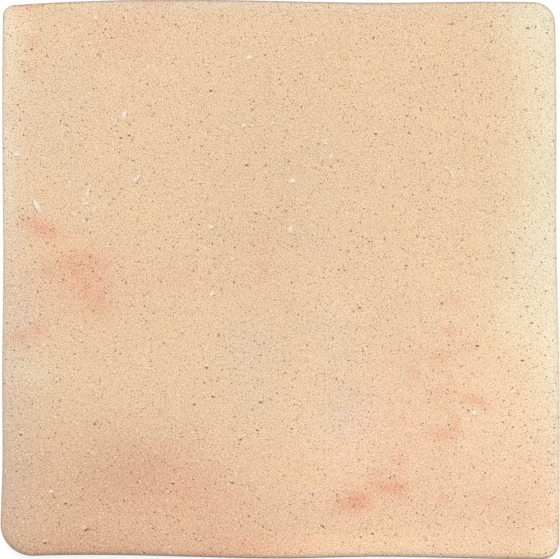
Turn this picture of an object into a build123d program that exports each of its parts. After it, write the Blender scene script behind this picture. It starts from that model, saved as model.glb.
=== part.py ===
from build123d import *
from math import radians, tan
import os

# A square porcelain floor tile, pressed and fired in one piece to look handmade.
# It lies face up. X runs along the front edge, Y towards the back edge, Z up.
# The origin is in the plane that the tile rests on, under the middle of its overall box.

# Driving dimensions, in millimetres and degrees.
width = 200.0  # left to right over the furthest points of the side edges
depth = 200.0  # front to back over the furthest points of the front and back edges
thickness = 10.0  # underside to face

# How far each edge draws in from the overall box, place by place, going clockwise.
# A place is a share of the edge's half length, and the first and last are its corners.
back_edge = ((-1.0, 2.1), (-0.66, 0.3), (-0.2, 0.0), (0.4, 0.95), (0.72, 0.6), (1.0, 1.0))
right_edge = ((1.0, 1.85), (0.5, 1.1), (0.05, 1.0), (-0.24, 0.25), (-0.6, 0.0), (-1.0, 0.3))
front_edge = ((1.0, 0.0), (0.66, 0.3), (0.32, 0.85), (0.04, 0.25), (-0.38, 1.0), (-1.0, 0.6))
left_edge = ((-1.0, 0.0), (-0.86, 0.0), (-0.7, 0.6), (-0.4, 0.55), (0.0, 0.95), (0.4, 0.72), (1.0, 0.95))

# Each corner has its own rounding.
back_left_radius = 4.2
back_right_radius = 7.8
front_right_radius = 6.0
front_left_radius = 11.6

cushion_radius = 2.5  # the soft round where the face turns down into the side walls
wall_draft = 3.0  # the side walls lean in towards the underside by this angle
foot_chamfer = 0.6  # the small bevel round the underside

# The keyed underside has square cells with cut corners, sunk between crossing ribs,
# inside a plain land.
land_width = 11.0  # at least this much between the overall box and the first cells
cell_width = 14.0
rib_width = 4.0
cell_depth = 0.7
cell_corner_cut = 2.0
cell_draft = 30.0  # the cell walls lean, so that the press punch lets go


def outline(height):
    """The four edges of the walls at a height, as lists of points that go clockwise."""
    inset = (widest_level - height) * tan(radians(wall_draft))
    half_width = width / 2 - inset
    half_depth = depth / 2 - inset
    back = [(share * half_width, half_depth - dip) for share, dip in back_edge]
    right = [(half_width - dip, share * half_depth) for share, dip in right_edge]
    front = [(share * half_width, dip - half_depth) for share, dip in front_edge]
    left = [(dip - half_width, share * half_depth) for share, dip in left_edge]
    edges = [back, right, front, left]
    for crossing, side in ((back, right), (front, left)):
        # A corner takes its X from the side edge and its Y from the back or front edge.
        side[0] = crossing[-1] = (side[0][0], crossing[-1][1])
    for side, crossing in ((right, front), (left, back)):
        side[-1] = crossing[0] = (side[-1][0], crossing[0][1])
    return edges


widest_level = thickness - cushion_radius
corner_radii = (back_right_radius, front_right_radius, front_left_radius, back_left_radius)

with BuildPart() as tile:
    for height in (0, thickness):
        with BuildSketch(Plane.XY.offset(height)):
            with BuildLine():
                for edge in outline(height):
                    Spline(*edge)
            make_face()
    loft(ruled=True)

    for edge, radius in zip(outline(thickness / 2), corner_radii):
        corner = Vertex(*edge[-1], thickness / 2)
        fillet(tile.edges().sort_by_distance(corner)[0], radius)

    fillet(tile.faces().sort_by(Axis.Z)[-1].edges(), cushion_radius)
    chamfer(tile.faces().sort_by(Axis.Z)[0].edges(), foot_chamfer)

    cell_pitch = cell_width + rib_width
    cells_across = int((width - 2 * land_width + rib_width) // cell_pitch)
    cells_deep = int((depth - 2 * land_width + rib_width) // cell_pitch)
    with BuildSketch(Plane.XY) as cells:
        with GridLocations(cell_pitch, cell_pitch, cells_across, cells_deep):
            Rectangle(cell_width, cell_width)
        chamfer(cells.vertices(), cell_corner_cut)
    extrude(amount=cell_depth, taper=cell_draft, mode=Mode.SUBTRACT)

tile.part.label = "tile"
os.makedirs("parts", exist_ok=True)
export_step(tile.part, "parts/tile.step")
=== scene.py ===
from math import cos, pi, radians, sin, tan
from random import Random

import bmesh
import bpy
import numpy as np
from bpy.props import FloatProperty, FloatVectorProperty, IntProperty, PointerProperty
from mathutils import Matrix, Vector, kdtree


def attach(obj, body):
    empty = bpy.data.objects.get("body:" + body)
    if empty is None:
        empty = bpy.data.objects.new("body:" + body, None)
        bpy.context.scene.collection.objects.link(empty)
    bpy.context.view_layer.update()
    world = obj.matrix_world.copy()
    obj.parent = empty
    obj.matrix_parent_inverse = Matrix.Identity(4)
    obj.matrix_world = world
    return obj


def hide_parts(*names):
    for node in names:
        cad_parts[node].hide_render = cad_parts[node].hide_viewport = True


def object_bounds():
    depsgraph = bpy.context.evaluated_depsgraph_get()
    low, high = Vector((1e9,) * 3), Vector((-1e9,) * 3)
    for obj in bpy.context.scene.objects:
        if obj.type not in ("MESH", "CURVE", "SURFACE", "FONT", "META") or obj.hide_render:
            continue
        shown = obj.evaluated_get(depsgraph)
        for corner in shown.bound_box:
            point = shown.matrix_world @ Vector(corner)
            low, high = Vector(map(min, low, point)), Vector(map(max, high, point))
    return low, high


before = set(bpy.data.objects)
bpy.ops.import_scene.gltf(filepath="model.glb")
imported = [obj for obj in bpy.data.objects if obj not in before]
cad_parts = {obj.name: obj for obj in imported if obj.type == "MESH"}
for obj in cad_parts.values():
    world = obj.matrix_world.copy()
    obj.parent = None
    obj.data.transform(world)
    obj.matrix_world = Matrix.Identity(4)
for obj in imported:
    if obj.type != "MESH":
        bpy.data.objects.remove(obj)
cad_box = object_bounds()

bl_info = {
    "name": "Handmade-look porcelain tile",
    "version": (1, 0, 0),
    "blender": (4, 5, 0),
    "location": "3D View > Sidebar > Tile",
    "description": "Models and finishes one square terracotta-look tile, lying face up on a pale table",
    "category": "Object",
}

MM = 0.001  # the lists below and the patterns of the finish are in millimetres
GRIT_TONE = (0.78, 0.70, 0.55)  # what the fine grit adds or takes away, to keep the ground's hue

# The tile is seen from straight above, with its back edge at the top of the picture.
# In every list, x and y are from the middle of the tile, and a turn is in degrees, anticlockwise.

# Soft orange-pink blushes of the firing: x, y, half length, half width, turn, strength.
BLUSHES = (
    # Beside the left edge, above the middle
    (-85.5, 18.6, 7.0, 3.2, -18, 0.56),
    (-84.0, 17.6, 9.0, 5.0, -18, 0.24),
    (-79.0, 14.0, 5.0, 3.0, -30, 0.15),
    (-70.7, 3.6, 10.5, 9.0, -30, 0.38),
    (-72.0, 6.6, 8.5, 3.6, 0, 0.22),
    (-82.5, 3.2, 4.0, 2.4, 0, 0.30),
    (-65.5, -8.0, 5.5, 7.5, 20, 0.36),
    (-71.0, -3.0, 3.0, 6.0, 10, 0.20),
    (-86.0, -17.4, 3.6, 3.2, 0, 0.45),
    (-93.0, -20.6, 6.5, 2.8, 10, 0.36),
    # Left of the middle
    (-36.5, 1.6, 9.0, 4.5, 0, 0.20),
    (-5.4, 3.4, 2.8, 4.4, 0, 0.30),
    (-6.4, 13.8, 4.0, 4.0, 0, 0.20),
    # Broad warm ground towards the front, mostly at the left
    (-46.0, -70.0, 24.0, 16.0, -8, 0.26),
    (-30.0, -76.0, 20.0, 12.0, -20, 0.20),
    (-10.0, -94.0, 22.0, 8.0, 0, 0.14),
    (44.0, -62.0, 26.0, 22.0, 0, 0.12),
    (90.0, -82.0, 16.0, 18.0, 0, 0.14),
    (-12.0, -96.0, 16.0, 4.0, 0, 0.26),
    (-70.0, -94.0, 26.0, 6.0, 0, 0.20),
    # Over the whole front part, and round the blushes at the left
    (0.0, -96.0, 120.0, 36.0, 0, 0.17),
    (-40.0, -80.0, 46.0, 34.0, 0, 0.10),
    (-76.0, -78.0, 34.0, 34.0, 0, 0.12),
    (-50.0, -99.0, 50.0, 6.0, 0, 0.14),
    (-68.0, -2.0, 28.0, 18.0, 0, 0.15),
    (-72.0, 2.0, 18.0, 16.0, -30, 0.14),
    (-12.0, 6.0, 22.0, 22.0, 0, 0.07),
    (-66.0, -76.0, 30.0, 26.0, 0, 0.07),
    (-40.0, -96.0, 60.0, 12.0, 0, 0.06),
    (28.0, -78.0, 18.0, 8.0, 0, 0.12),
    # The strong streak near the front edge, and its tail
    (27.0, -79.2, 6.4, 4.0, 4, 0.52),
    (27.4, -79.4, 5.8, 3.6, 6, 0.50),
    (20.0, -81.8, 5.0, 2.6, 15, 0.24),
    (38.2, -73.9, 7.8, 2.8, -4, 0.66),
    (42.9, -75.4, 2.8, 3.8, 0, 0.44),
    (35.2, -68.8, 4.6, 2.2, 10, 0.34),
    (42.4, -65.2, 1.8, 3.8, 0, 0.36),
    (58.2, -78.0, 3.2, 2.2, 0, 0.34),
    (75.0, -78.4, 7.0, 3.6, -10, 0.22),
    # Right of the middle, and one faint line near the back
    (57.6, -55.2, 6.0, 2.6, 0, 0.48),
    (62.3, -51.8, 2.2, 4.8, 0, 0.36),
    (70.6, -43.4, 5.4, 2.0, -24, 0.58),
    (65.4, -42.0, 3.0, 1.8, 0, 0.30),
    (60.7, -18.2, 3.2, 1.8, 0, 0.42),
    (57.4, -27.6, 6.0, 3.8, 0, 0.32),
    (68.2, -23.4, 5.0, 2.4, -10, 0.24),
    (47.5, -32.7, 2.8, 3.0, 0, 0.32),
    (57.0, -41.0, 5.0, 4.0, 0, 0.24),
    (62.4, -7.2, 4.0, 2.2, 0, 0.24),
    (52.0, -40.0, 24.0, 26.0, 0, 0.12),
    (48.5, 66.2, 8.0, 1.3, 0, 0.14),
    # Near the back edge and the other rims
    (-90.0, 97.6, 5.6, 2.2, 0, 0.44),
    (-43.9, 98.6, 6.2, 1.6, 0, 0.30),
    (-87.9, 84.8, 2.6, 2.4, 0, 0.46),
    (-89.5, 74.6, 3.2, 3.0, 0, 0.28),
    (-53.6, 87.3, 15.0, 9.0, 0, 0.15),
    (61.4, 92.2, 2.4, 1.6, 8, 0.34),
    (-95.6, 61.0, 2.2, 5.0, 0, 0.20),
    (-5.0, 71.0, 3.0, 9.0, 0, 0.12),
    (96.0, -86.8, 2.8, 3.2, 0, 0.34),
)

# Pale, milky ground, which along the right side also carries painted light: x, y, half length, half width,
# turn, strength.
CREAMS = (
    (103.0, 62.0, 18.0, 62.0, 0, 0.95),
    (97.0, 10.0, 17.0, 34.0, 0, 0.70),
    (90.0, 94.0, 14.0, 14.0, 0, 0.40),
    (100.0, -24.0, 11.0, 36.0, 0, 0.70),
    (101.0, -80.0, 4.0, 22.0, 0, 0.50),
    (-99.0, 84.0, 9.0, 26.0, 0, 0.42),
    (-99.0, 40.0, 7.0, 34.0, 0, 0.34),
    (-100.5, 30.0, 3.0, 60.0, 0, 0.40),
    (-89.0, -33.0, 10.0, 5.5, -10, 0.42),
    (0.0, 99.0, 90.0, 3.5, 0, 0.22),
    (95.0, 92.0, 14.0, 12.0, 0, 0.55),
    (98.0, -96.0, 9.0, 12.0, 0, 0.50),
    (103.0, -62.0, 8.0, 30.0, 0, 0.30),
    (84.0, -12.0, 10.0, 14.0, 0, 0.30),
)

# Greyer, less yellow ground: x, y, half length, half width, turn, strength.
ASHES = (
    (-100.0, 20.0, 10.0, 90.0, 0, 0.64),
    (-90.0, -10.0, 9.0, 14.0, 0, 0.40),
    (-94.0, -62.0, 13.0, 34.0, 0, 0.48),
    (-78.0, 60.0, 16.0, 40.0, 0, 0.22),
    (-10.7, -25.0, 11.0, 12.0, 20, 0.42),
    (22.0, -50.0, 14.0, 13.0, 0, 0.42),
    (18.0, -16.0, 10.0, 8.0, 0, 0.28),
    (14.0, -77.0, 6.0, 5.0, 0, 0.34),
    (14.0, 10.0, 6.0, 5.0, 0, 0.22),
    (0.0, 99.0, 100.0, 4.5, 0, 0.46),
    (100.0, -50.0, 6.0, 60.0, 0, 0.45),
    (98.0, 94.0, 10.0, 10.0, 0, 0.70),
    (101.0, 60.0, 4.0, 60.0, 0, 0.60),
    (76.0, -70.0, 34.0, 40.0, 0, 0.20),
    (26.0, -50.0, 12.0, 26.0, 0, 0.22),
    (45.0, -99.0, 30.0, 4.0, 0, 0.40),
    (-10.0, -42.0, 14.0, 8.0, 0, 0.25),
    (22.0, -26.0, 9.0, 8.0, 0, 0.30),
    (0.0, -99.0, 96.0, 4.0, 0, 0.30),
    (-98.5, -72.0, 3.5, 18.0, 0, 0.45),
)

# Painted shade, and ground that fired darker in places: x, y, half length, half width, turn, strength.
SHADES = (
    # The broad front-left strokes are partly painted shade, and the thin strokes along the back and front
    # rims are painted shade on the cushion.
    (-90.0, -104.0, 60.0, 52.0, 0, 0.50),
    (-58.0, -72.0, 18.0, 22.0, 0, 0.26),
    (-20.0, -98.0, 40.0, 20.0, 0, 0.16),
    (-104.0, -60.0, 24.0, 44.0, 0, 0.20),
    (-74.0, -100.0, 30.0, 5.5, 0, 0.60),
    (-97.0, -97.0, 7.0, 7.0, 0, 0.50),
    (-95.8, -95.8, 9.0, 2.8, -45, 0.70),
    (-52.0, -99.0, 54.0, 2.4, 0, 0.60),
    (54.0, -99.5, 46.0, 2.6, 0, 0.35),
    (54.0, 100.5, 46.0, 3.2, 0, 0.35),
    (-70.0, 4.0, 11.0, 9.0, 0, 0.10),
    (-86.0, -99.0, 8.0, 3.0, 0, 0.40),
    (26.0, -79.0, 6.0, 4.0, 0, 0.06),
    (-4.0, 42.0, 40.0, 50.0, 0, 0.16),
    (0.0, 100.8, 110.0, 2.2, 0, 0.40),
)

# Painted light, and ground that fired lighter in places: x, y, half length, half width, turn, strength.
PAINTED_LIGHT_AND_PALER_GROUND = (
    # The broad strokes over the right side and the front are painted light.
    (84.0, -50.0, 44.0, 66.0, 0, 0.55),
    (104.0, -60.0, 16.0, 60.0, 0, 0.10),
    (102.0, 20.0, 12.0, 60.0, 0, 0.10),
    (24.0, -66.0, 30.0, 34.0, 0, 0.40),
    (52.0, -95.0, 46.0, 8.0, 0, 0.50),
    (98.0, -88.0, 9.0, 22.0, 0, 0.65),
    (10.0, -97.0, 40.0, 7.0, 0, 0.55),
    (-58.0, -85.0, 34.0, 12.0, 0, 0.20),
    (46.0, -62.0, 26.0, 30.0, 0, 0.15),
    (20.0, -14.0, 12.0, 20.0, 0, 0.15),
    (-78.0, 14.0, 12.0, 6.0, -30, 0.30),
    (-70.0, 2.0, 10.0, 10.0, 0, 0.30),
    (-36.0, -84.0, 30.0, 10.0, 0, 0.10),
    (-98.0, 60.0, 6.0, 50.0, 0, 0.20),
    (-94.0, 92.0, 9.0, 9.0, 0, 0.30),
    (90.0, 68.0, 12.0, 34.0, 0, 0.20),
    # Painted light on the cushion along the left and right rims.
    (-100.6, 0.0, 1.7, 104.0, 0, 1.00),
    (100.6, 0.0, 1.7, 104.0, 0, 1.00),
    (40.0, -50.0, 20.0, 14.0, 0, 0.10),
)

# Pale grains that stand out of the face:
# x, y, length, width, turn, height, and how white they are.
PALE_GRAINS = (
    (-55.4, 58.6, 3.2, 1.7, 85, 0.12, 0.60),
    (-58.6, 56.5, 2.0, 1.3, 90, 0.10, 0.70),
    (-51.0, 36.1, 3.5, 1.1, 42, 0.14, 1.00),
    (-50.2, 38.6, 2.0, 1.4, 80, 0.08, 0.50),
    (-86.5, 26.0, 5.4, 1.8, -58, 0.12, 0.60),
    (-69.2, 27.1, 1.5, 1.2, 0, 0.12, 0.75),
    (-61.7, 26.8, 2.2, 1.5, 90, 0.10, 0.65),
    (-66.1, 24.6, 2.4, 1.0, 85, 0.08, 0.50),
    (-68.2, 31.4, 4.0, 1.1, 72, 0.10, 0.60),
    (-93.9, 44.6, 2.2, 1.4, 0, 0.10, 0.60),
    (-13.2, 54.8, 2.0, 1.4, 30, 0.10, 0.45),
    (-20.7, 54.1, 1.8, 1.3, 0, 0.10, 0.55),
    (-26.4, 50.7, 2.4, 1.3, 10, 0.10, 0.55),
    (-24.8, 18.8, 1.8, 1.4, 20, 0.12, 0.80),
    (-50.4, 18.2, 1.9, 1.2, 0, 0.10, 0.50),
    (-11.0, 79.1, 2.2, 1.5, 20, 0.10, 0.60),
    (-65.9, 93.4, 1.4, 1.8, 0, 0.12, 0.50),
    (-88.9, 68.2, 1.6, 1.4, 0, 0.10, 0.40),
    (21.4, 61.6, 1.6, 1.2, 0, 0.08, 0.40),
    (16.0, 49.1, 1.6, 2.0, 0, 0.14, 0.55),
    (18.2, 43.9, 1.7, 1.6, 0, 0.08, 0.70),
    (18.6, 42.0, 1.2, 1.2, 0, 0.06, 0.50),
    (4.3, 35.2, 2.0, 1.5, 10, 0.10, 0.70),
    (59.4, 39.6, 2.4, 0.9, -20, 0.10, 0.50),
    (61.2, 37.6, 2.6, 0.9, -65, 0.10, 0.60),
    (3.6, 17.7, 1.5, 2.0, 0, 0.10, 0.60),
    (8.9, 40.5, 1.2, 0.8, 0, 0.08, 0.40),
    (-24.1, -5.0, 2.1, 1.6, 20, 0.14, 0.85),
    (-17.1, 7.3, 1.6, 1.3, 0, 0.10, 0.60),
    (-74.6, -21.6, 1.2, 1.6, 0, 0.08, 0.40),
    (-97.0, -50.9, 1.2, 1.0, 0, 0.10, 0.50),
    (-81.6, -75.7, 1.6, 1.2, 10, 0.12, 0.70),
    (-93.6, -80.9, 1.0, 0.8, 0, 0.06, 0.50),
    (-45.1, -63.0, 1.1, 1.0, 0, 0.08, 0.45),
    (-37.9, -56.6, 1.1, 1.0, 0, 0.08, 0.40),
    (68.9, -47.6, 1.7, 1.4, 0, 0.10, 0.85),
    (13.9, -55.0, 1.2, 1.0, 0, 0.08, 0.40),
    (39.6, -88.0, 0.9, 0.8, 0, 0.08, 0.80),
    (73.6, -86.4, 2.4, 0.8, -62, 0.10, 0.85),
    (95.5, -89.3, 2.0, 0.9, -28, 0.12, 0.95),
    (68.9, -33.0, 1.1, 1.0, 0, 0.08, 0.45),
    (38.6, -70.2, 1.7, 1.2, 10, 0.16, 0.35),
    (21.4, -49.3, 1.2, 0.9, 0, 0.08, 0.40),
    (-31.0, 61.5, 1.4, 1.0, 40, 0.08, 0.35),
    (30.5, 15.2, 1.3, 1.0, 0, 0.08, 0.35),
    (84.0, -0.8, 1.6, 1.2, 60, 0.10, 0.45),
    (-68.0, 84.2, 1.6, 1.2, 0, 0.08, 0.35),
)

# Grains of the body's own colour that stand up like small domes: x, y, length, width, turn, height.
DOMES = (
    (-69.8, -88.0, 2.8, 2.6, 30, 0.34),
    (-83.7, -92.9, 2.0, 1.9, 0, 0.26),
    (-76.4, -79.2, 1.9, 1.3, 0, 0.20),
    (-11.8, 41.8, 2.3, 2.0, 0, 0.26),
    (-24.6, 68.3, 1.9, 1.8, 0, 0.20),
    (88.2, 90.4, 1.9, 1.5, 0, 0.22),
    (-56.7, 51.2, 1.6, 1.3, 0, 0.22),
    (-53.9, 52.0, 1.8, 1.3, 10, 0.20),
    (33.2, -90.0, 1.7, 1.2, -20, 0.20),
    (-26.2, -30.6, 1.8, 1.5, 0, 0.18),
    (-24.0, -41.0, 1.7, 1.5, 0, 0.18),
    (-30.6, -43.8, 1.7, 1.4, 0, 0.18),
    (-6.8, -43.0, 1.8, 1.4, 0, 0.18),
    (-14.2, -56.4, 1.8, 1.3, 20, 0.16),
    (-8.1, -53.0, 1.7, 1.3, 0, 0.16),
    (-38.1, -72.0, 1.8, 1.3, 0, 0.18),
    (-17.0, -71.8, 1.8, 1.3, 0, 0.18),
    (-92.4, -54.6, 1.7, 1.3, 0, 0.18),
    (-66.0, -50.8, 1.7, 1.3, 0, 0.16),
    (70.3, -23.0, 1.9, 1.2, 0, 0.18),
    (89.6, -14.8, 1.7, 1.2, 0, 0.18),
    (86.4, -28.2, 1.7, 1.2, 0, 0.18),
    (57.7, -7.8, 1.6, 1.2, 0, 0.18),
    (28.4, -9.4, 1.6, 1.2, 0, 0.16),
    (45.0, 5.6, 1.6, 1.2, 0, 0.16),
    (34.0, 52.5, 1.8, 1.1, 10, 0.14),
)

# Pits and nicks, darker than the face: x, y, length, width, turn, depth, and how dark.
PITS = (
    (-88.6, 82.0, 1.5, 0.8, 5, 0.20, 0.90),
    (-90.4, 81.2, 0.9, 0.7, 40, 0.16, 0.70),
    (-62.2, 89.3, 0.9, 0.8, 0, 0.24, 1.00),
    (-60.0, 86.2, 0.8, 1.1, 0, 0.20, 0.80),
    (-64.7, 80.2, 1.0, 0.8, -20, 0.18, 0.75),
    (-46.9, 95.2, 0.9, 0.7, 0, 0.16, 0.70),
    (-36.1, 90.0, 0.9, 0.7, 0, 0.16, 0.70),
    (-30.2, 84.0, 0.9, 0.7, 0, 0.16, 0.70),
    (-12.6, 93.0, 0.9, 0.7, 0, 0.16, 0.75),
    (-53.6, 55.2, 1.3, 0.6, 35, 0.18, 0.85),
    (-60.2, 53.8, 0.8, 0.8, 0, 0.18, 0.80),
    (-58.4, 54.8, 1.1, 0.6, 10, 0.14, 0.60),
    (-44.9, 59.2, 1.2, 0.6, 35, 0.16, 0.70),
    (-47.0, 62.1, 0.8, 0.7, 0, 0.16, 0.70),
    (-44.9, 38.2, 1.1, 0.7, -20, 0.18, 0.80),
    (-65.6, 43.1, 1.0, 0.7, 0, 0.16, 0.70),
    (-36.2, 49.9, 0.8, 1.0, 0, 0.16, 0.70),
    (-68.8, 21.5, 1.4, 0.7, -50, 0.18, 0.75),
    (61.1, 91.0, 3.2, 0.6, 9, 0.14, 0.60),
    (75.2, 84.7, 0.9, 0.8, 0, 0.22, 0.95),
    (69.5, 81.8, 0.9, 0.8, 0, 0.20, 0.85),
    (79.7, 94.0, 1.4, 0.8, -30, 0.18, 0.75),
    (91.2, 90.2, 0.9, 0.8, 0, 0.20, 0.85),
    (65.4, 76.0, 0.9, 0.8, 0, 0.18, 0.80),
    (65.0, 67.4, 0.9, 0.8, 0, 0.18, 0.80),
    (47.5, 75.7, 0.9, 0.7, 0, 0.18, 0.75),
    (33.2, 85.8, 0.9, 0.7, 0, 0.18, 0.70),
    (29.3, 93.1, 0.9, 0.7, 0, 0.18, 0.70),
    (32.5, 47.5, 1.1, 0.7, 30, 0.16, 0.60),
    (2.4, 53.0, 1.0, 0.8, 0, 0.18, 0.75),
    (0.4, 69.4, 0.9, 0.7, 0, 0.16, 0.65),
    (28.8, -91.8, 0.9, 0.8, 0, 0.24, 1.00),
    (40.8, -70.0, 1.0, 0.8, 0, 0.22, 0.90),
    (48.8, -83.2, 0.8, 0.8, 0, 0.20, 0.85),
    (83.4, -86.5, 1.0, 0.9, 0, 0.24, 1.00),
    (90.1, -88.9, 0.9, 0.8, 0, 0.22, 0.90),
    (15.3, -88.1, 2.8, 0.6, -38, 0.16, 1.00),
    (8.9, -79.8, 0.9, 0.8, 0, 0.18, 0.75),
    (64.6, -43.8, 1.2, 0.7, 0, 0.18, 0.70),
    (92.9, -9.1, 1.2, 0.7, 30, 0.18, 0.75),
    (95.7, -24.1, 1.8, 0.6, 20, 0.14, 0.60),
    (95.7, -80.2, 1.6, 0.6, 200, 0.12, 0.50),
    (29.6, -25.5, 1.0, 0.8, 0, 0.18, 0.75),
    (22.3, -93.6, 0.9, 0.8, 0, 0.18, 0.75),
    (-52.5, -76.4, 1.0, 0.8, 0, 0.18, 0.70),
    (-61.6, -80.2, 0.9, 0.7, 20, 0.16, 0.65),
)


def shade(red, green, blue):
    """A colour given in 0 to 255, put through the sRGB curve into a shader's linear colour."""
    channels = [value / 255 for value in (red, green, blue)]
    return tuple(c / 12.92 if c <= 0.04045 else ((c + 0.055) / 1.055) ** 2.4 for c in channels) + (1.0,)


def length(name, description, millimetres, **options):
    """A size that a user may change, kept in metres."""
    return FloatProperty(
        name=name, description=description, default=millimetres * MM, min=0.0, precision=5, unit="LENGTH",
        **options,
    )


def angle(name, description, degrees):
    """An angle that a user may change, kept in radians."""
    return FloatProperty(name=name, description=description, default=radians(degrees), subtype="ANGLE")


def colour(name, description, red, green, blue):
    """A colour that a user may change."""
    return FloatVectorProperty(
        name=name, description=description, subtype="COLOR", size=4, min=0.0, max=1.0,
        default=shade(red, green, blue),
    )


class TileSizes(bpy.types.PropertyGroup):
    """Sizes of the tile's edges, underside and relief."""

    cushion: length("Cushion", "Radius of the soft round from the face down into the walls", 2.5)
    foot: length("Foot", "Height and width of the small bevel round the underside", 0.6)
    cell: length("Cell", "Width of a sunken square in the underside", 14.0)
    rib: length("Rib", "Width of the ribs between the cells", 4.0)
    cell_depth: length("Cell depth", "How far a cell is sunk", 0.7)
    cell_slope: length("Cell slope", "How far a cell's walls lean in, from its rim to its floor", 0.4)
    cell_round: length("Cell corner", "Rounding of a cell's corners", 2.0)
    spans: IntProperty(
        name="Spans", description="Faces along one side of the face before it is made finer", default=160,
    )
    finer: IntProperty(
        name="Finer cuts", description="Cuts across each face under a grain or a pit", default=4,
    )
    stray_marks: IntProperty(
        name="Stray marks", description="Small grains and pits strewn over the face", default=150,
    )
    room: length("Relief room", "How far the face is let down, so that grains stay in the tile's box", 0.10)
    swell: length("Swell", "Height of the broad waves of the face", 0.16)
    ripple: length("Ripple", "Height of the small waves of the face", 0.07)


class TileColours(bpy.types.PropertyGroup):
    """Colours of the fired tile."""

    clay: colour("Clay", "The face's pale peach ground", 237, 205, 169)
    # The cream is brighter than the milky ground alone, as painted light along the right side.
    cream: colour("Cream", "The milky ground along the right side", 239, 229, 202)
    ash: colour("Ash", "The greyer ground along the left side and in patches", 228, 202, 184)
    blush: colour("Blush", "The orange-pink of the blushes", 228, 157, 129)
    ochre: colour("Ochre", "The yellow tinge of the sand", 236, 205, 160)
    grain: colour("Pale grain", "The white grains", 254, 248, 238)
    milky: colour("Milky grain", "The faintly pink grains among the white ones", 243, 216, 197)
    fleck: colour("Fleck", "The fine light grit", 255, 238, 208)
    pore: colour("Pore", "The dark of pits and pores", 132, 86, 44)
    rust: colour("Rust", "The iron stain of some pores", 164, 94, 62)
    body: colour("Body", "The bare body of the walls and the underside", 190, 165, 147)
    kiln_wash: colour("Kiln wash", "The white powder that the ribs get for the kiln", 232, 224, 212)
    table: colour("Table", "The pale table", 126, 126, 126)


class StageSettings(bpy.types.PropertyGroup):
    """The camera and the lights."""

    lens: FloatProperty(name="Lens", description="Focal length in millimetres", default=100.0)
    sensor: FloatProperty(name="Sensor", description="Width of the sensor in millimetres", default=36.0)
    daylight: FloatProperty(
        name="Daylight", description="Share of the light that comes evenly from all round", default=0.42,
    )
    lamp_height: angle("Lamp height", "How high the lamp stands over the table", 68)
    lamp_side: angle("Lamp side", "How far the lamp stands to the right of the back edge's middle", 4)
    side_light: FloatProperty(
        name="Side light", description="Share of the face's light that each low side lamp gives",
        default=0.04,
    )
    side_height: angle("Side lamp height", "How high the two side lamps stand over the table", 15)
    lamp_distance: length("Lamp distance", "From the middle of the tile to each lamp", 2500.0)
    lamp_size: length("Lamp size", "Side of each square lamp", 620.0)


# Short ways to work on a mesh

def only(piece):
    """Makes the piece the one selected, active object."""
    bpy.ops.object.select_all(action="DESELECT")
    piece.select_set(True)
    bpy.context.view_layer.objects.active = piece


def edit(piece, kind):
    """Goes into edit mode with nothing selected, to pick VERT, EDGE or FACE."""
    only(piece)
    bpy.ops.object.mode_set(mode="EDIT")
    bpy.ops.mesh.select_mode(type=kind)
    bpy.ops.mesh.select_all(action="DESELECT")


def pick(piece, items, wanted):
    """Selects, in edit mode, the verts, edges or faces for which wanted says yes."""
    mesh = bmesh.from_edit_mesh(piece.data)
    for item in getattr(mesh, items):
        if wanted(item):
            item.select = True
    mesh.select_flush_mode()
    bmesh.update_edit_mesh(piece.data)


def apply(piece, kind, **settings):
    """Adds a modifier to the piece and applies it."""
    only(piece)
    bpy.ops.object.modifier_add(type=kind)
    modifier = piece.modifiers[-1]
    for name, value in settings.items():
        setattr(modifier, name, value)
    bpy.ops.object.modifier_apply(modifier=modifier.name)


def places(mesh):
    """The mesh's points as rows of x, y and z."""
    found = np.empty(len(mesh.vertices) * 3, np.float32)
    mesh.vertices.foreach_get("co", found)
    return found.reshape(-1, 3)


# The block: outline, cushion, face, walls and foot

def settle(tile, waist):
    """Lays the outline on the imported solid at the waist, and evens out its facets along the sides."""
    for _ in range(2):
        apply(tile, "SHRINKWRAP", target=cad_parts["tile"], wrap_method="NEAREST_SURFACEPOINT")
        edit(tile, "VERT")
        bpy.ops.mesh.select_all(action="SELECT")
        bpy.ops.transform.resize(value=(1, 1, 0), center_override=(0, 0, waist))
        bpy.ops.object.mode_set(mode="OBJECT")
    side_end = cad_box[1].x - 16 * MM  # past here the corners begin, which keep their rounding
    edit(tile, "VERT")
    pick(tile, "verts", lambda v: min(abs(v.co.x), abs(v.co.y)) < side_end)
    bpy.ops.mesh.vertices_smooth(factor=0.5, repeat=12)
    bpy.ops.object.mode_set(mode="OBJECT")


def press_cushion(sizes, waist):
    """The outline at the waist, where the tile is widest, and the round from there up to the face."""
    side = (cad_box[1] - cad_box[0]).x
    bpy.ops.mesh.primitive_plane_add(size=side, location=(0, 0, waist))
    tile = bpy.context.object
    tile.name = tile.data.name = "tile_body"
    only(tile)
    bpy.ops.object.transform_apply(location=True, rotation=False, scale=False)
    edit(tile, "EDGE")
    bpy.ops.mesh.select_all(action="SELECT")
    bpy.ops.mesh.delete(type="ONLY_FACE")
    bpy.ops.mesh.select_all(action="SELECT")
    bpy.ops.mesh.subdivide(number_cuts=sizes.spans // 2 - 1)
    bpy.ops.mesh.subdivide(number_cuts=1)
    bpy.ops.object.mode_set(mode="OBJECT")
    settle(tile, waist)

    edit(tile, "EDGE")
    bpy.ops.mesh.select_all(action="SELECT")
    bpy.ops.mesh.edge_face_add()
    bpy.ops.mesh.select_mode(type="FACE")
    rings = 8
    inwards = upwards = 0.0
    for ring in range(1, rings + 1):
        turned = pi / 2 * ring / rings
        next_inwards = sizes.cushion * (1 - cos(turned))
        next_upwards = sizes.cushion * sin(turned)
        bpy.ops.mesh.inset(thickness=next_inwards - inwards, depth=next_upwards - upwards)
        inwards, upwards = next_inwards, next_upwards
    bpy.ops.mesh.delete(type="ONLY_FACE")
    bpy.ops.object.mode_set(mode="OBJECT")
    return tile


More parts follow.
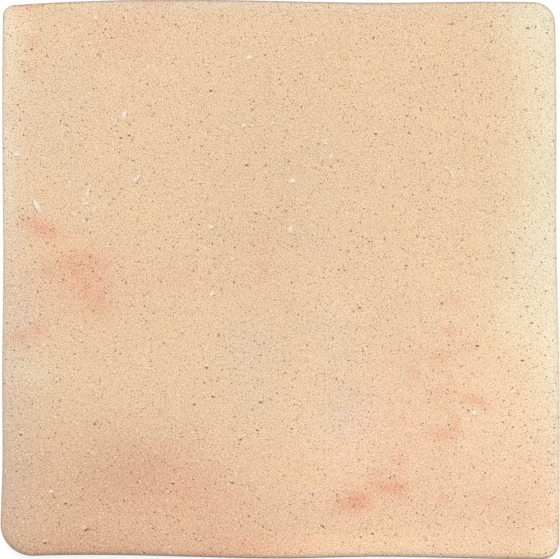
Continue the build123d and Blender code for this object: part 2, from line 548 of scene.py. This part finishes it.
def lay_face(tile, sizes, waist):
    """Fills the ring on top of the cushion with a grid whose corners lie in the tile's corners."""
    edit(tile, "EDGE")
    middle = waist + sizes.cushion / 2
    pick(tile, "edges", lambda edge: edge.is_boundary and edge.verts[0].co.z > middle)
    mesh = bmesh.from_edit_mesh(tile.data)
    corner = min((v for v in mesh.verts if v.select), key=lambda v: v.co.x + v.co.y)
    mesh.select_history.clear()
    mesh.select_history.add(corner)
    bmesh.update_edit_mesh(tile.data)
    bpy.ops.mesh.fill_grid(span=sizes.spans, offset=0, use_interp_simple=True)
    bpy.ops.object.mode_set(mode="OBJECT")


def drop_walls(tile, sizes, waist):
    """Draws the walls down from the waist to the foot, and the foot's bevel down to the underside."""
    draft = 3.0  # degrees that the walls lean in
    rows = 3
    half = (cad_box[1] - cad_box[0]).x / 2
    drop = (waist - sizes.foot) / rows
    lean = drop * tan(radians(draft))
    edit(tile, "EDGE")
    pick(tile, "edges", lambda edge: edge.is_boundary)
    for down, inwards in [(drop, lean)] * rows + [(sizes.foot, sizes.foot)]:
        shrink = (half - inwards) / half
        bpy.ops.mesh.extrude_edges_move(TRANSFORM_OT_translate={"value": (0, 0, -down)})
        bpy.ops.transform.resize(value=(shrink, shrink, 1), center_override=(0, 0, 0))
    bpy.ops.object.mode_set(mode="OBJECT")


def press_underside(sizes):
    """The keyed field: square cells with rounded corners, sunk between ribs."""
    cells = 10
    pitch = sizes.cell + sizes.rib
    bpy.ops.mesh.primitive_grid_add(x_subdivisions=cells, y_subdivisions=cells, size=cells * pitch)
    field = bpy.context.object
    edit(field, "FACE")
    bpy.ops.mesh.select_all(action="SELECT")
    bpy.ops.mesh.flip_normals()
    bpy.ops.mesh.inset(thickness=sizes.rib / 2, depth=0, use_individual=True)
    bpy.ops.mesh.select_mode(type="VERT")
    bpy.ops.mesh.bevel(offset=sizes.cell_round, segments=4, affect="VERTICES")
    bpy.ops.mesh.select_mode(type="FACE")
    bpy.ops.mesh.select_all(action="DESELECT")
    pick(field, "faces", lambda face: in_cell(face.calc_center_median(), pitch))
    bpy.ops.mesh.inset(thickness=sizes.cell_slope, depth=-sizes.cell_depth, use_individual=True)
    bpy.ops.object.mode_set(mode="OBJECT")
    return field


def in_cell(place, pitch):
    """True for a place near the middle of a cell of the underside."""
    return all(abs((value / pitch) % 1 - 0.5) < 0.1 for value in place[:2])


def close_underside(tile, field):
    """Joins the keyed field to the foot, with the plain land between them."""
    bpy.ops.object.select_all(action="DESELECT")
    field.select_set(True)
    tile.select_set(True)
    bpy.context.view_layer.objects.active = tile
    bpy.ops.object.join()
    edit(tile, "EDGE")
    pick(tile, "edges", lambda edge: edge.is_boundary)
    bpy.ops.mesh.bridge_edge_loops()
    bpy.ops.mesh.select_all(action="SELECT")
    bpy.ops.mesh.normals_make_consistent(inside=False)
    bpy.ops.object.mode_set(mode="OBJECT")


# The relief of the face

def search_tree(numbered):
    """A search tree of places, each with its number."""
    tree = kdtree.KDTree(len(numbered))
    for place, number in numbered:
        tree.insert(place, number)
    tree.balance()
    return tree


def strewn_marks(count):
    """Small grains and pits at places of their own, apart from the ones in the lists."""
    draw = Random(11)
    reach = 94.0
    marks = []
    for _ in range(count):
        x, y = draw.uniform(-reach, reach), draw.uniform(-reach, reach)
        size, turn = draw.uniform(0.6, 1.0), draw.uniform(-90, 90)
        rise = draw.choice((0.10, 0.13, -0.13, -0.17))
        marks.append((x, y, size * draw.uniform(1.0, 1.6), size, turn, rise))
    return marks


def shadow_nick(grain, wide, depth, darkness):
    """A thin pit along the lower side of a raised grain, whose dark colour is painted shadow below the
    grain.
    """
    x, y, long, across, turn = grain[:5]
    if turn > 90:
        turn -= 180
    away = 0.55 * across  # just past the grain's own side
    x, y = x + away * sin(radians(turn)), y - away * cos(radians(turn))
    return x, y, 0.75 * long, wide, turn, depth, darkness


def spine(mark, step=0.25):
    """Points in metres along the middle line of a mark that is longer than it is wide."""
    x, y, long, wide, turn = mark[:5]
    half = max(long - wide, 0.0) / 2
    count = max(1, int(half / step) * 2 + 1)
    for k in range(count):
        along = half * (2 * k / (count - 1) - 1) if count > 1 else 0.0
        yield Vector((x + along * cos(radians(turn)), y + along * sin(radians(turn)), 0)) * MM


def nearness(marks, height):
    """A search tree of the marks' middle lines."""
    points = [point for mark in marks for point in spine(mark)]
    return search_tree([((point.x, point.y, height), number) for number, point in enumerate(points)])


def refine(tile, marks, sizes):
    """Cuts the face finer under the marks."""
    top = cad_box[1].z
    reach = 1.7 * MM  # from a mark's middle line
    tree = nearness(marks, top)

    def under_mark(face):
        middle = face.calc_center_median()
        return middle.z > top - MM / 20 and tree.find(middle)[2] < reach

    edit(tile, "FACE")
    pick(tile, "faces", under_mark)
    bpy.ops.mesh.subdivide(number_cuts=sizes.finer)
    bpy.ops.object.mode_set(mode="OBJECT")


def weigh_face(tile, fade=6.0):
    """Makes a vertex group that is full over the face and fades out towards the cushion."""
    top = cad_box[1].z
    mesh = tile.data
    on_face = [v.index for v in mesh.vertices if v.co.z > top - MM / 100]
    inner = set(on_face)
    rim = {i for edge in mesh.edges for i in edge.vertices
           if (edge.vertices[0] in inner) != (edge.vertices[1] in inner)} & inner
    tree = search_tree([(mesh.vertices[index].co, index) for index in sorted(rim)])
    group = tile.vertex_groups.new(name="face")
    for index in on_face:
        share = min(tree.find(mesh.vertices[index].co)[2] / (fade * MM), 1.0)
        group.add([index], share * share * (3 - 2 * share), "REPLACE")


def wave_face(tile, sizes):
    """Lets the face down by the room for its grains, in broad waves and small ones."""
    for name, height, grain, depth in (
        ("swell", sizes.swell + sizes.room, 46.0, 1),
        ("ripple", sizes.ripple, 9.0, 2),
    ):
        waves = bpy.data.textures.new(name, "CLOUDS")
        waves.noise_scale = grain * MM
        waves.noise_depth = depth
        apply(
            tile, "DISPLACE", texture=waves, texture_coords="LOCAL", direction="Z",
            vertex_group="face", mid_level=1.0, strength=height,
        )
        bpy.data.textures.remove(waves)


def raise_marks(tile, marks):
    """Raises each grain and sinks each pit by one soft move of the points round its middle line."""
    core, skirt = 0.25, 0.5  # in widths of a mark: the full move's reach, and how far it fades from there
    edit(tile, "VERT")
    mesh = bmesh.from_edit_mesh(tile.data)
    mesh.verts.ensure_lookup_table()
    top = cad_box[1].z
    tree = search_tree([((v.co.x, v.co.y, 0), v.index) for v in mesh.verts if v.co.z > top - MM])
    for mark in marks:
        wide, rise = mark[3] * MM, mark[5] * MM
        bpy.ops.mesh.select_all(action="DESELECT")
        mesh = bmesh.from_edit_mesh(tile.data)
        mesh.verts.ensure_lookup_table()
        for point in spine(mark):
            found = tree.find_range(point, core * wide) or [tree.find(point)]
            for _, index, _ in found:
                mesh.verts[index].select = True
        bmesh.update_edit_mesh(tile.data)
        bpy.ops.transform.translate(
            value=(0, 0, rise), use_proportional_edit=True, proportional_edit_falloff="SMOOTH",
            proportional_size=skirt * wide,
        )
    bpy.ops.object.mode_set(mode="OBJECT")


def press_flat(tile):
    """Flattens what stands over the face's highest plane, as the press does."""
    top = cad_box[1].z
    edit(tile, "VERT")
    pick(tile, "verts", lambda v: v.co.z > top)
    if any(v.select for v in bmesh.from_edit_mesh(tile.data).verts):
        bpy.ops.transform.resize(value=(1, 1, 0), center_override=(0, 0, top))
    bpy.ops.object.mode_set(mode="OBJECT")


# Painting on the tile's points, for the finish to read

def ellipse(points, x, y, long, wide, turn):
    """How far each point is from a place, where 1 is the rim of an ellipse about it."""
    across, along = points[:, 0] / MM - x, points[:, 1] / MM - y
    c, s = cos(radians(turn)), sin(radians(turn))
    return np.hypot((across * c + along * s) / long, (along * c - across * s) / wide)


def paint(tile, name, strokes):
    """Lays soft strokes over each other, each fading out from its middle."""
    fading = 1.4
    points = places(tile.data)
    bare = np.ones(len(points))
    for *place, strength in strokes:
        bare *= 1 - strength * np.exp(-fading * ellipse(points, *place) ** 2)
    keep(tile, name, 1 - bare)


def dot(tile, name, marks):
    """Marks the points of grains or pits, firm in the middle and soft at the rim."""
    rim, softness = 1.15, 0.6
    points = places(tile.data)
    cover = np.zeros(len(points))
    on_face = points[:, 2] > cad_box[1].z - MM
    for x, y, long, wide, turn, strength in marks:
        distance = ellipse(points, x, y, long / 2, wide / 2, turn)
        firm = np.clip((rim - distance) / softness, 0, 1)
        cover = np.maximum(cover, strength * firm * firm * (3 - 2 * firm) * on_face)
    keep(tile, name, cover)


def keep(tile, name, cover):
    """Keeps the cover of each point, from 0 to 1, in an attribute of this name."""
    attribute = tile.data.attributes.new(name, "FLOAT", "POINT")
    attribute.data.foreach_set("value", cover.astype(np.float32))


# Short ways to build a finish

class Finish:
    """A material with one Principled shader, and short ways to add what feeds it."""

    def __init__(self, name):
        self.material = bpy.data.materials.new(name)
        self.material.use_nodes = True
        self.nodes = self.material.node_tree.nodes
        self.links = self.material.node_tree.links
        self.shader = self.nodes["Principled BSDF"]
        place = self.nodes.new("ShaderNodeTexCoord")
        # The patterns are turned, so that their cells don't line up with the tile's edges.
        turned = self.nodes.new("ShaderNodeVectorRotate")
        turned.rotation_type = "Z_AXIS"
        turned.inputs["Angle"].default_value = radians(33)
        self.feed(turned.inputs["Vector"], place.outputs["Object"])
        self.millimetres = self.vector("SCALE", turned.outputs["Vector"], scale=1 / MM)
        self.straight = self.vector("SCALE", place.outputs["Object"], scale=1 / MM)

    def feed(self, socket, value):
        """Links a socket, or sets it to a number or colour."""
        if isinstance(value, bpy.types.NodeSocket):
            self.links.new(value, socket)
        else:
            socket.default_value = value

    def vector(self, operation, first, second=None, scale=None):
        """A step of vector arithmetic, on places or on colours."""
        node = self.nodes.new("ShaderNodeVectorMath")
        node.operation = operation
        self.feed(node.inputs[0], first)
        if second is not None:
            self.feed(node.inputs[1], second)
        if scale is not None:
            self.feed(node.inputs["Scale"], scale)
        return node.outputs["Vector"]

    def math(self, operation, *values, clamp=False):
        """A step of arithmetic on numbers."""
        node = self.nodes.new("ShaderNodeMath")
        node.operation = operation
        node.use_clamp = clamp
        for socket, value in zip(node.inputs, values):
            self.feed(socket, value)
        return node.outputs["Value"]

    def apart(self, seed):
        """The place in millimetres, moved so that patterns of unlike seeds don't match."""
        return self.vector("ADD", self.millimetres, (37.3 * seed, -53.9 * seed, 19.7 * seed))

    def noise(self, size, detail=2.0, roughness=0.5, seed=0.0, flat=False):
        """A cloudy pattern about 0.5 with features of this many millimetres, solid or seen from above."""
        node = self.nodes.new("ShaderNodeTexNoise")
        node.noise_dimensions = "2D" if flat else "3D"
        self.feed(node.inputs["Vector"], self.apart(seed))
        node.inputs["Scale"].default_value = 1 / size
        node.inputs["Detail"].default_value = detail
        node.inputs["Roughness"].default_value = roughness
        return node.outputs["Fac"]

    def step(self, value, low, high, to_low=0.0, to_high=1.0):
        """A soft step of the value from low to high."""
        node = self.nodes.new("ShaderNodeMapRange")
        node.interpolation_type = "SMOOTHSTEP"
        for socket, number in zip(node.inputs, (value, low, high, to_low, to_high)):
            self.feed(socket, number)
        return node.outputs["Result"]

    def swing(self, pattern, amount):
        """1 plus or minus the amount, by a pattern about 0.5."""
        return self.math("MULTIPLY_ADD", pattern, 2 * amount, 1 - amount)

    def mix(self, share, below, above):
        """The colour below, covered by the share of the colour above."""
        node = self.nodes.new("ShaderNodeMix")
        node.data_type = "RGBA"
        self.feed(node.inputs["Factor"], share)
        self.feed(node.inputs["A"], below)
        self.feed(node.inputs["B"], above)
        return node.outputs["Result"]

    def painted(self, name):
        """The cover that paint or dot has put on the points."""
        node = self.nodes.new("ShaderNodeAttribute")
        node.attribute_name = name
        return node.outputs["Fac"]

    def specks(self, spacing, radius, share, seed, flat=False):
        """Specks with uneven rims, at most one in each cell, and a random value of its own for each."""
        node = self.nodes.new("ShaderNodeTexVoronoi")
        node.voronoi_dimensions = "2D" if flat else "3D"
        self.feed(node.inputs["Vector"], self.apart(seed))
        node.inputs["Scale"].default_value = 1 / spacing
        chance = self.nodes.new("ShaderNodeSeparateColor")
        self.feed(chance.inputs["Color"], node.outputs["Color"])
        kept = self.step(chance.outputs["Red"], share, share - 0.05)
        # A speck's rim lies at 0.45 to 1.55 times the radius.
        reach = radius / spacing
        rim = self.math("MULTIPLY_ADD", chance.outputs["Green"], 1.1 * reach, 0.45 * reach)
        uneven = self.noise(0.6, detail=1.0, seed=seed, flat=flat)
        distance = self.math("MULTIPLY", node.outputs["Distance"], self.swing(uneven, 0.6))
        firm = self.step(distance, rim, self.math("MULTIPLY", rim, 0.4))
        return self.math("MULTIPLY", kept, firm), chance.outputs["Blue"]


def face_finish(colours):
    """The printed, matt face: sandy ground, blushes, pale grains, pores, a bare lower rim, and painted
    light and shade.
    """
    clay = Finish("terracotta_face")

    cloud = clay.noise(14.0, detail=3.0, seed=1.0, flat=True)
    mottle = clay.noise(3.4, detail=3.0, seed=2.0, flat=True)
    sand = clay.noise(1.15, detail=2.0, roughness=0.65, seed=3.0, flat=True)
    dust = clay.noise(0.40, detail=0.5, seed=4.0, flat=True)
    patches = clay.noise(3.0, detail=4.0, roughness=0.70, seed=5.0, flat=True)
    tinge = clay.noise(7.0, detail=3.0, seed=6.0, flat=True)

    ground = clay.mix(clay.step(tinge, 0.40, 0.75, 0.0, 0.40), colours.clay, colours.ochre)
    for name, colour_above, breakup in (
        ("ash", colours.ash, 0.6), ("cream", colours.cream, 0.4), ("blush", colours.blush, 0.4),
    ):
        cover = clay.math("MULTIPLY", clay.painted(name), clay.swing(patches, breakup))
        cover = clay.math("MULTIPLY", cover, clay.swing(dust, 0.4 * breakup), clamp=True)
        ground = clay.mix(cover, ground, colour_above)
    ground = clay.mix(clay.step(patches, 0.55, 0.85, 0.0, 0.13), ground, colours.blush)

    # The shade and lift covers are mostly painted shade and painted light, and in places darker and paler
    # ground.
    darkening, lightening = 0.26, 0.24
    level = clay.math("MULTIPLY_ADD", clay.painted("shade"), -darkening, 1.0)
    level = clay.math("MULTIPLY_ADD", clay.painted("lift"), lightening, level)
    for pattern, amount in ((cloud, 0.03), (mottle, 0.035)):
        level = clay.math("MULTIPLY", level, clay.swing(pattern, amount))
    ground = clay.vector("SCALE", ground, scale=level)
    gritty = clay.math("SUBTRACT", dust, 0.5)
    gritty = clay.math("MULTIPLY_ADD", clay.math("SUBTRACT", sand, 0.5), 0.08, gritty)
    ground = clay.vector("ADD", ground, clay.vector("SCALE", GRIT_TONE, scale=gritty))

    flecks, paleness = clay.specks(spacing=1.5, radius=0.29, share=0.6, seed=7.0, flat=True)
    fleck = clay.math("MULTIPLY", flecks, clay.math("MULTIPLY_ADD", paleness, 0.80, 0.15))
    ground = clay.mix(fleck, ground, colours.fleck)
    pale = clay.math("MULTIPLY", clay.painted("grain"), clay.swing(sand, 0.5), clamp=True)
    milky = clay.math("MULTIPLY", clay.step(tinge, 0.44, 0.56), clay.step(pale, 0.95, 0.65))
    ground = clay.mix(pale, ground, clay.mix(milky, colours.grain, colours.milky))

    pinholes, strength = clay.specks(spacing=1.05, radius=0.21, share=0.66, seed=8.0, flat=True)
    pores, rust = clay.specks(spacing=3.9, radius=0.25, share=0.50, seed=9.0, flat=True)
    gathered = clay.math("MULTIPLY", pinholes, clay.step(patches, 0.36, 0.62, 0.45, 1.3))
    pinhole = clay.math("MULTIPLY", gathered, clay.math("MULTIPLY_ADD", strength, 0.85, 0.05), clamp=True)
    small = clay.math("MAXIMUM", pinhole, clay.math("MULTIPLY", pores, 0.90))
    ground = clay.mix(small, ground, clay.mix(clay.step(rust, 0.50, 0.80), colours.pore, colours.rust))
    # The real pits, and the painted shadows of the nicks below raised grains.
    pit = clay.painted("pit")
    ground = clay.mix(pit, ground, colours.pore)
    dark = clay.math("MAXIMUM", small, pit)

    # On the cushion of the back and front edges the face turns towards the darker bare body, and below the
    # cushion the print ends raggedly.
    # Along the left and right edges it runs a little further down.
    whole, thin, print_end, bare_start = 10.4, 9.7, 9.0, 8.2  # heights, raised by the noise to run raggedly
    inner, outer = 80.0, 98.0  # this far from the middle, the side edges pass into the back and front ones
    place = clay.nodes.new("ShaderNodeSeparateXYZ")
    clay.feed(place.inputs["Vector"], clay.straight)
    ragged = clay.math("MULTIPLY_ADD", clay.noise(1.6, detail=2.0, seed=10.0), 1.8, place.outputs["Z"])
    far = clay.math("ABSOLUTE", place.outputs["Y"])
    rim_darkening = clay.math("MULTIPLY", clay.step(ragged, whole, thin), clay.step(far, inner, outer, 0.10, 0.85))
    fringe = clay.math("MULTIPLY_ADD", clay.step(far, outer, inner), 0.8, ragged)
    bare = clay.math("MAXIMUM", rim_darkening, clay.step(fringe, print_end, bare_start))
    ground = clay.mix(bare, ground, bare_body(clay, colours))
    clay.feed(clay.shader.inputs["Base Color"], ground)

    # The pale grains shine a little, and the pits and pores are dull.
    rough = clay.math("MULTIPLY_ADD", pale, -0.18, 0.80)
    rough = clay.math("MULTIPLY_ADD", dark, 0.15, rough)
    clay.feed(clay.shader.inputs["Roughness"], clay.math("MULTIPLY", rough, clay.swing(mottle, 0.08)))
    clay.shader.inputs["Specular IOR Level"].default_value = 0.35

    relief = clay.math("MULTIPLY", sand, 0.21)
    for pattern, rise in (
        (dust, 0.10), (mottle, 0.12), (flecks, 0.12), (pinholes, -0.09), (pores, -0.20),
    ):
        relief = clay.math("MULTIPLY_ADD", pattern, rise, relief)
    # The patterns of the face run straight down the walls, so the walls have a grain of their own.
    wall = clay.step(ragged, print_end, bare_start)
    grain = clay.math("MULTIPLY_ADD", clay.noise(0.9, detail=3.0, roughness=0.65, seed=11.0), 0.24, 0.095)
    relief = clay.math("MULTIPLY", relief, clay.math("SUBTRACT", 1.0, wall))
    roughen(clay, clay.math("MULTIPLY_ADD", grain, wall, relief))
    return clay.material


def bare_body(finish, colours):
    """The colour of the unprinted body, with its fine dark and pale grit."""
    tone = finish.noise(5.0, detail=4.0, seed=20.0)
    grit = finish.noise(0.8, detail=2.0, roughness=0.7, seed=21.0)
    level = finish.math("MULTIPLY", finish.swing(tone, 0.10), finish.swing(grit, 0.20))
    specks, _ = finish.specks(spacing=2.6, radius=0.45, share=0.5, seed=22.0)
    body = finish.vector("SCALE", colours.body[:3], scale=level)
    return finish.mix(finish.math("MULTIPLY", specks, 0.45), body, colours.pore)


def roughen(finish, relief):
    """Sets the bump of a finish from a height in millimetres."""
    bump = finish.nodes.new("ShaderNodeBump")
    bump.inputs["Distance"].default_value = MM
    finish.feed(bump.inputs["Height"], relief)
    finish.feed(finish.shader.inputs["Normal"], bump.outputs["Normal"])


def back_finish(colours):
    """The bare underside: sieve-textured body, with kiln wash rubbed over the ribs."""
    back = Finish("bare_underside")
    body = bare_body(back, colours)
    height = back.nodes.new("ShaderNodeSeparateXYZ")
    back.feed(height.inputs["Vector"], back.straight)
    on_ribs = back.step(height.outputs["Z"], 0.12, 0.02)
    rubbed = back.step(back.noise(7.0, detail=5.0, roughness=0.65, seed=30.0), 0.40, 0.62)
    powder = back.math("MULTIPLY", on_ribs, rubbed)
    powder = back.math("MULTIPLY_ADD", powder, 0.75, back.step(rubbed, 0.6, 1.0, 0.0, 0.08), clamp=True)
    back.feed(back.shader.inputs["Base Color"], back.mix(powder, body, colours.kiln_wash))
    back.feed(back.shader.inputs["Roughness"], back.math("MULTIPLY_ADD", powder, 0.08, 0.86))
    back.shader.inputs["Specular IOR Level"].default_value = 0.25
    relief = back.math("MULTIPLY", back.noise(0.9, detail=3.0, roughness=0.65, seed=31.0), 0.16)
    roughen(back, back.math("MULTIPLY_ADD", back.noise(6.0, detail=2.0, seed=32.0), 0.15, relief))
    return back.material


def dress(tile, colours):
    """Gives the face and walls one finish and the underside the other."""
    tile.data.materials.clear()
    tile.data.materials.append(face_finish(colours))
    tile.data.materials.append(back_finish(colours))
    tile.active_material_index = 1
    edit(tile, "FACE")
    pick(tile, "faces", lambda face: face.calc_center_median().z < MM and face.normal.z < -0.3)
    bpy.ops.object.material_slot_assign()
    bpy.ops.object.mode_set(mode="OBJECT")
    only(tile)
    bpy.ops.object.shade_smooth_by_angle(angle=radians(38))


def stretched(mark, along, across, strength):
    """A mark with its length and width multiplied, and with the strength that dot is to give it."""
    x, y, long, wide, turn = mark[:5]
    return x, y, along * long, across * wide, turn, strength


class TILE_OT_fire(bpy.types.Operator):
    """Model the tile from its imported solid, raise its relief and give it its fired finish"""

    bl_idname = "tile.fire"
    bl_label = "Make the tile"

    def execute(self, context):
        sizes, colours = context.scene.tile_sizes, context.scene.tile_colours
        waist = cad_box[1].z - sizes.cushion
        tile = press_cushion(sizes, waist)
        lay_face(tile, sizes, waist)
        drop_walls(tile, sizes, waist)
        close_underside(tile, press_underside(sizes))

        # The shadow nicks are sunk a little, and their dark colour is painted shadow below the domes and
        # pale grains.
        shadow_nicks = [shadow_nick(mark, wide=0.75, depth=0.16, darkness=0.95) for mark in DOMES]
        shadow_nicks += [shadow_nick(mark, wide=0.55, depth=0.08, darkness=0.40) for mark in PALE_GRAINS]
        strewn = strewn_marks(sizes.stray_marks)
        raised = [mark[:6] for mark in PALE_GRAINS + DOMES]
        sunk = [mark[:5] + (-mark[5],) for mark in list(PITS) + shadow_nicks]
        marks = raised + sunk + strewn
        refine(tile, marks, sizes)
        weigh_face(tile)
        wave_face(tile, sizes)
        raise_marks(tile, marks)
        press_flat(tile)

        # The lift and shade strokes are mostly painted light and painted shade.
        for name, strokes in (
            ("blush", BLUSHES), ("cream", CREAMS), ("ash", ASHES), ("lift", PAINTED_LIGHT_AND_PALER_GROUND), ("shade", SHADES),
        ):
            paint(tile, name, strokes)
        whites = [stretched(mark, along=1.1, across=1.15, strength=mark[6]) for mark in PALE_GRAINS]
        # A painted highlight on top of each raised dome, in the pale grain's colour.
        crown_highlights = [stretched(mark, along=0.8, across=0.7, strength=0.3) for mark in DOMES]
        dot(tile, "grain", whites + crown_highlights)
        # Besides the pits, this cover holds the painted shadows of the nicks.
        pits = [stretched(mark, along=0.85, across=0.85, strength=mark[6]) for mark in PITS]
        pits += [stretched(mark, along=1, across=1, strength=mark[6]) for mark in shadow_nicks]
        pits += [stretched(mark, along=1, across=1, strength=0.6) for mark in strewn if mark[5] < 0]
        dot(tile, "pit", pits)
        dress(tile, colours)

        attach(tile, "root")
        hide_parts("tile")
        return {"FINISHED"}


class TILE_OT_set_stage(bpy.types.Operator):
    """Lay the pale table and set the light and the camera that looks straight down"""

    bl_idname = "tile.set_stage"
    bl_label = "Set the stage"

    def execute(self, context):
        settings, colours = context.scene.tile_stage, context.scene.tile_colours
        lay_table(colours)
        light(settings)
        aim_camera(settings)
        context.scene.view_settings.view_transform = "Standard"
        return {"FINISHED"}


def seen_directly(nodes, links):
    """1 for what the camera sees, also in a mirror or through glass, and else 0."""
    path = nodes.new("ShaderNodeLightPath")
    share = path.outputs["Is Camera Ray"]
    for name in ("Is Glossy Ray", "Is Transmission Ray"):
        either = nodes.new("ShaderNodeMath")
        either.operation = "MAXIMUM"
        links.new(share, either.inputs[0])
        links.new(path.outputs[name], either.inputs[1])
        share = either.outputs["Value"]
    return share


def lay_table(colours):
    """A wide pale table that looks white and keeps the tile's shadow."""
    width, gap = 6.0, 0.05 * MM
    glow_strength = 0.82  # with the table's colour under the lamps, this comes to white
    bpy.ops.mesh.primitive_plane_add(size=width, location=(0, 0, cad_box[0].z - gap))
    table = bpy.context.object
    table.name = "table"
    material = bpy.data.materials.new("table_white")
    material.use_nodes = True
    nodes, links = material.node_tree.nodes, material.node_tree.links
    nodes.clear()
    matt = nodes.new("ShaderNodeBsdfDiffuse")
    matt.inputs["Color"].default_value = colours.table
    glow = nodes.new("ShaderNodeEmission")
    both = nodes.new("ShaderNodeAddShader")
    output = nodes.new("ShaderNodeOutputMaterial")
    lift = nodes.new("ShaderNodeMath")
    lift.operation = "MULTIPLY"
    links.new(seen_directly(nodes, links), lift.inputs[0])
    lift.inputs[1].default_value = glow_strength
    links.new(lift.outputs["Value"], glow.inputs["Strength"])
    links.new(matt.outputs["BSDF"], both.inputs[0])
    links.new(glow.outputs["Emission"], both.inputs[1])
    links.new(both.outputs["Shader"], output.inputs["Surface"])
    table.data.materials.append(material)


def hang_lamp(name, share, height, turn, settings):
    """A soft square lamp that turns clockwise from the back edge and gives a share of the face's light."""
    distance = settings.lamp_distance
    place = Vector((sin(turn) * cos(height), cos(turn) * cos(height), sin(height))) * distance
    bpy.ops.object.light_add(type="AREA", location=place)
    lamp = bpy.context.object
    lamp.name = name
    lamp.rotation_euler = place.to_track_quat("Z", "Y").to_euler()
    lamp.data.size = settings.lamp_size
    # With the shares of all lamps and the daylight at 1 together, a matt face renders in its own colour.
    lamp.data.energy = share * pi * pi * distance ** 2 / sin(height)


def light(settings):
    """A high soft lamp behind the tile, a low one at either side, and even light from all round."""
    high_share = 1 - settings.daylight - 2 * settings.side_light
    hang_lamp("soft_lamp", high_share, settings.lamp_height, settings.lamp_side, settings)
    for name, turn in (("left_lamp", -pi / 2), ("right_lamp", pi / 2)):
        hang_lamp(name, settings.side_light, settings.side_height, turn, settings)
    world = bpy.data.worlds.new("daylight")
    bpy.context.scene.world = world
    world.use_nodes = True
    nodes, links = world.node_tree.nodes, world.node_tree.links
    even = nodes["Background"]
    even.inputs["Color"].default_value = (1, 1, 1, 1)
    brightness = nodes.new("ShaderNodeMapRange")
    links.new(seen_directly(nodes, links), brightness.inputs["Value"])
    brightness.inputs["To Min"].default_value = settings.daylight
    brightness.inputs["To Max"].default_value = 1.0
    links.new(brightness.outputs["Result"], even.inputs["Strength"])


def aim_camera(settings):
    """A long lens straight over the tile, whose picture is as wide as the tile at its waist."""
    lowest, highest = cad_box
    middle = (lowest + highest) / 2
    waist = highest.z - bpy.context.scene.tile_sizes.cushion
    margin = 1.002  # leaves a hair of the table in the picture
    distance = margin * (highest.x - lowest.x) * settings.lens / settings.sensor
    bpy.ops.object.camera_add(location=(middle.x, middle.y, waist + distance), rotation=(0, 0, 0))
    camera = bpy.context.object
    camera.name = "camera"
    camera.data.lens = settings.lens
    camera.data.sensor_width = settings.sensor
    bpy.context.scene.camera = camera


class TILE_PT_panel(bpy.types.Panel):
    """The tile's sizes and colours, and the steps that make it"""

    bl_label = "Porcelain tile"
    bl_idname = "TILE_PT_panel"
    bl_space_type = "VIEW_3D"
    bl_region_type = "UI"
    bl_category = "Tile"

    def draw(self, context):
        scene = context.scene
        for group, operator in (
            ((scene.tile_sizes, scene.tile_colours), TILE_OT_fire),
            ((scene.tile_stage,), TILE_OT_set_stage),
        ):
            box = self.layout.box()
            for settings in group:
                for name in settings.__annotations__:
                    box.prop(settings, name)
            box.operator(operator.bl_idname)


CLASSES = (TileSizes, TileColours, StageSettings, TILE_OT_fire, TILE_OT_set_stage, TILE_PT_panel)


def register():
    """Adds the classes to Blender, and the settings to its scenes."""
    for each in CLASSES:
        bpy.utils.register_class(each)
    bpy.types.Scene.tile_sizes = PointerProperty(type=TileSizes)
    bpy.types.Scene.tile_colours = PointerProperty(type=TileColours)
    bpy.types.Scene.tile_stage = PointerProperty(type=StageSettings)


def unregister():
    """Takes the settings and the classes away again."""
    del bpy.types.Scene.tile_sizes, bpy.types.Scene.tile_colours, bpy.types.Scene.tile_stage
    for each in reversed(CLASSES):
        bpy.utils.unregister_class(each)


def main():
    """Makes the tile and its stage."""
    register()
    bpy.ops.tile.fire()
    bpy.ops.tile.set_stage()


if __name__ == "__main__":
    main()
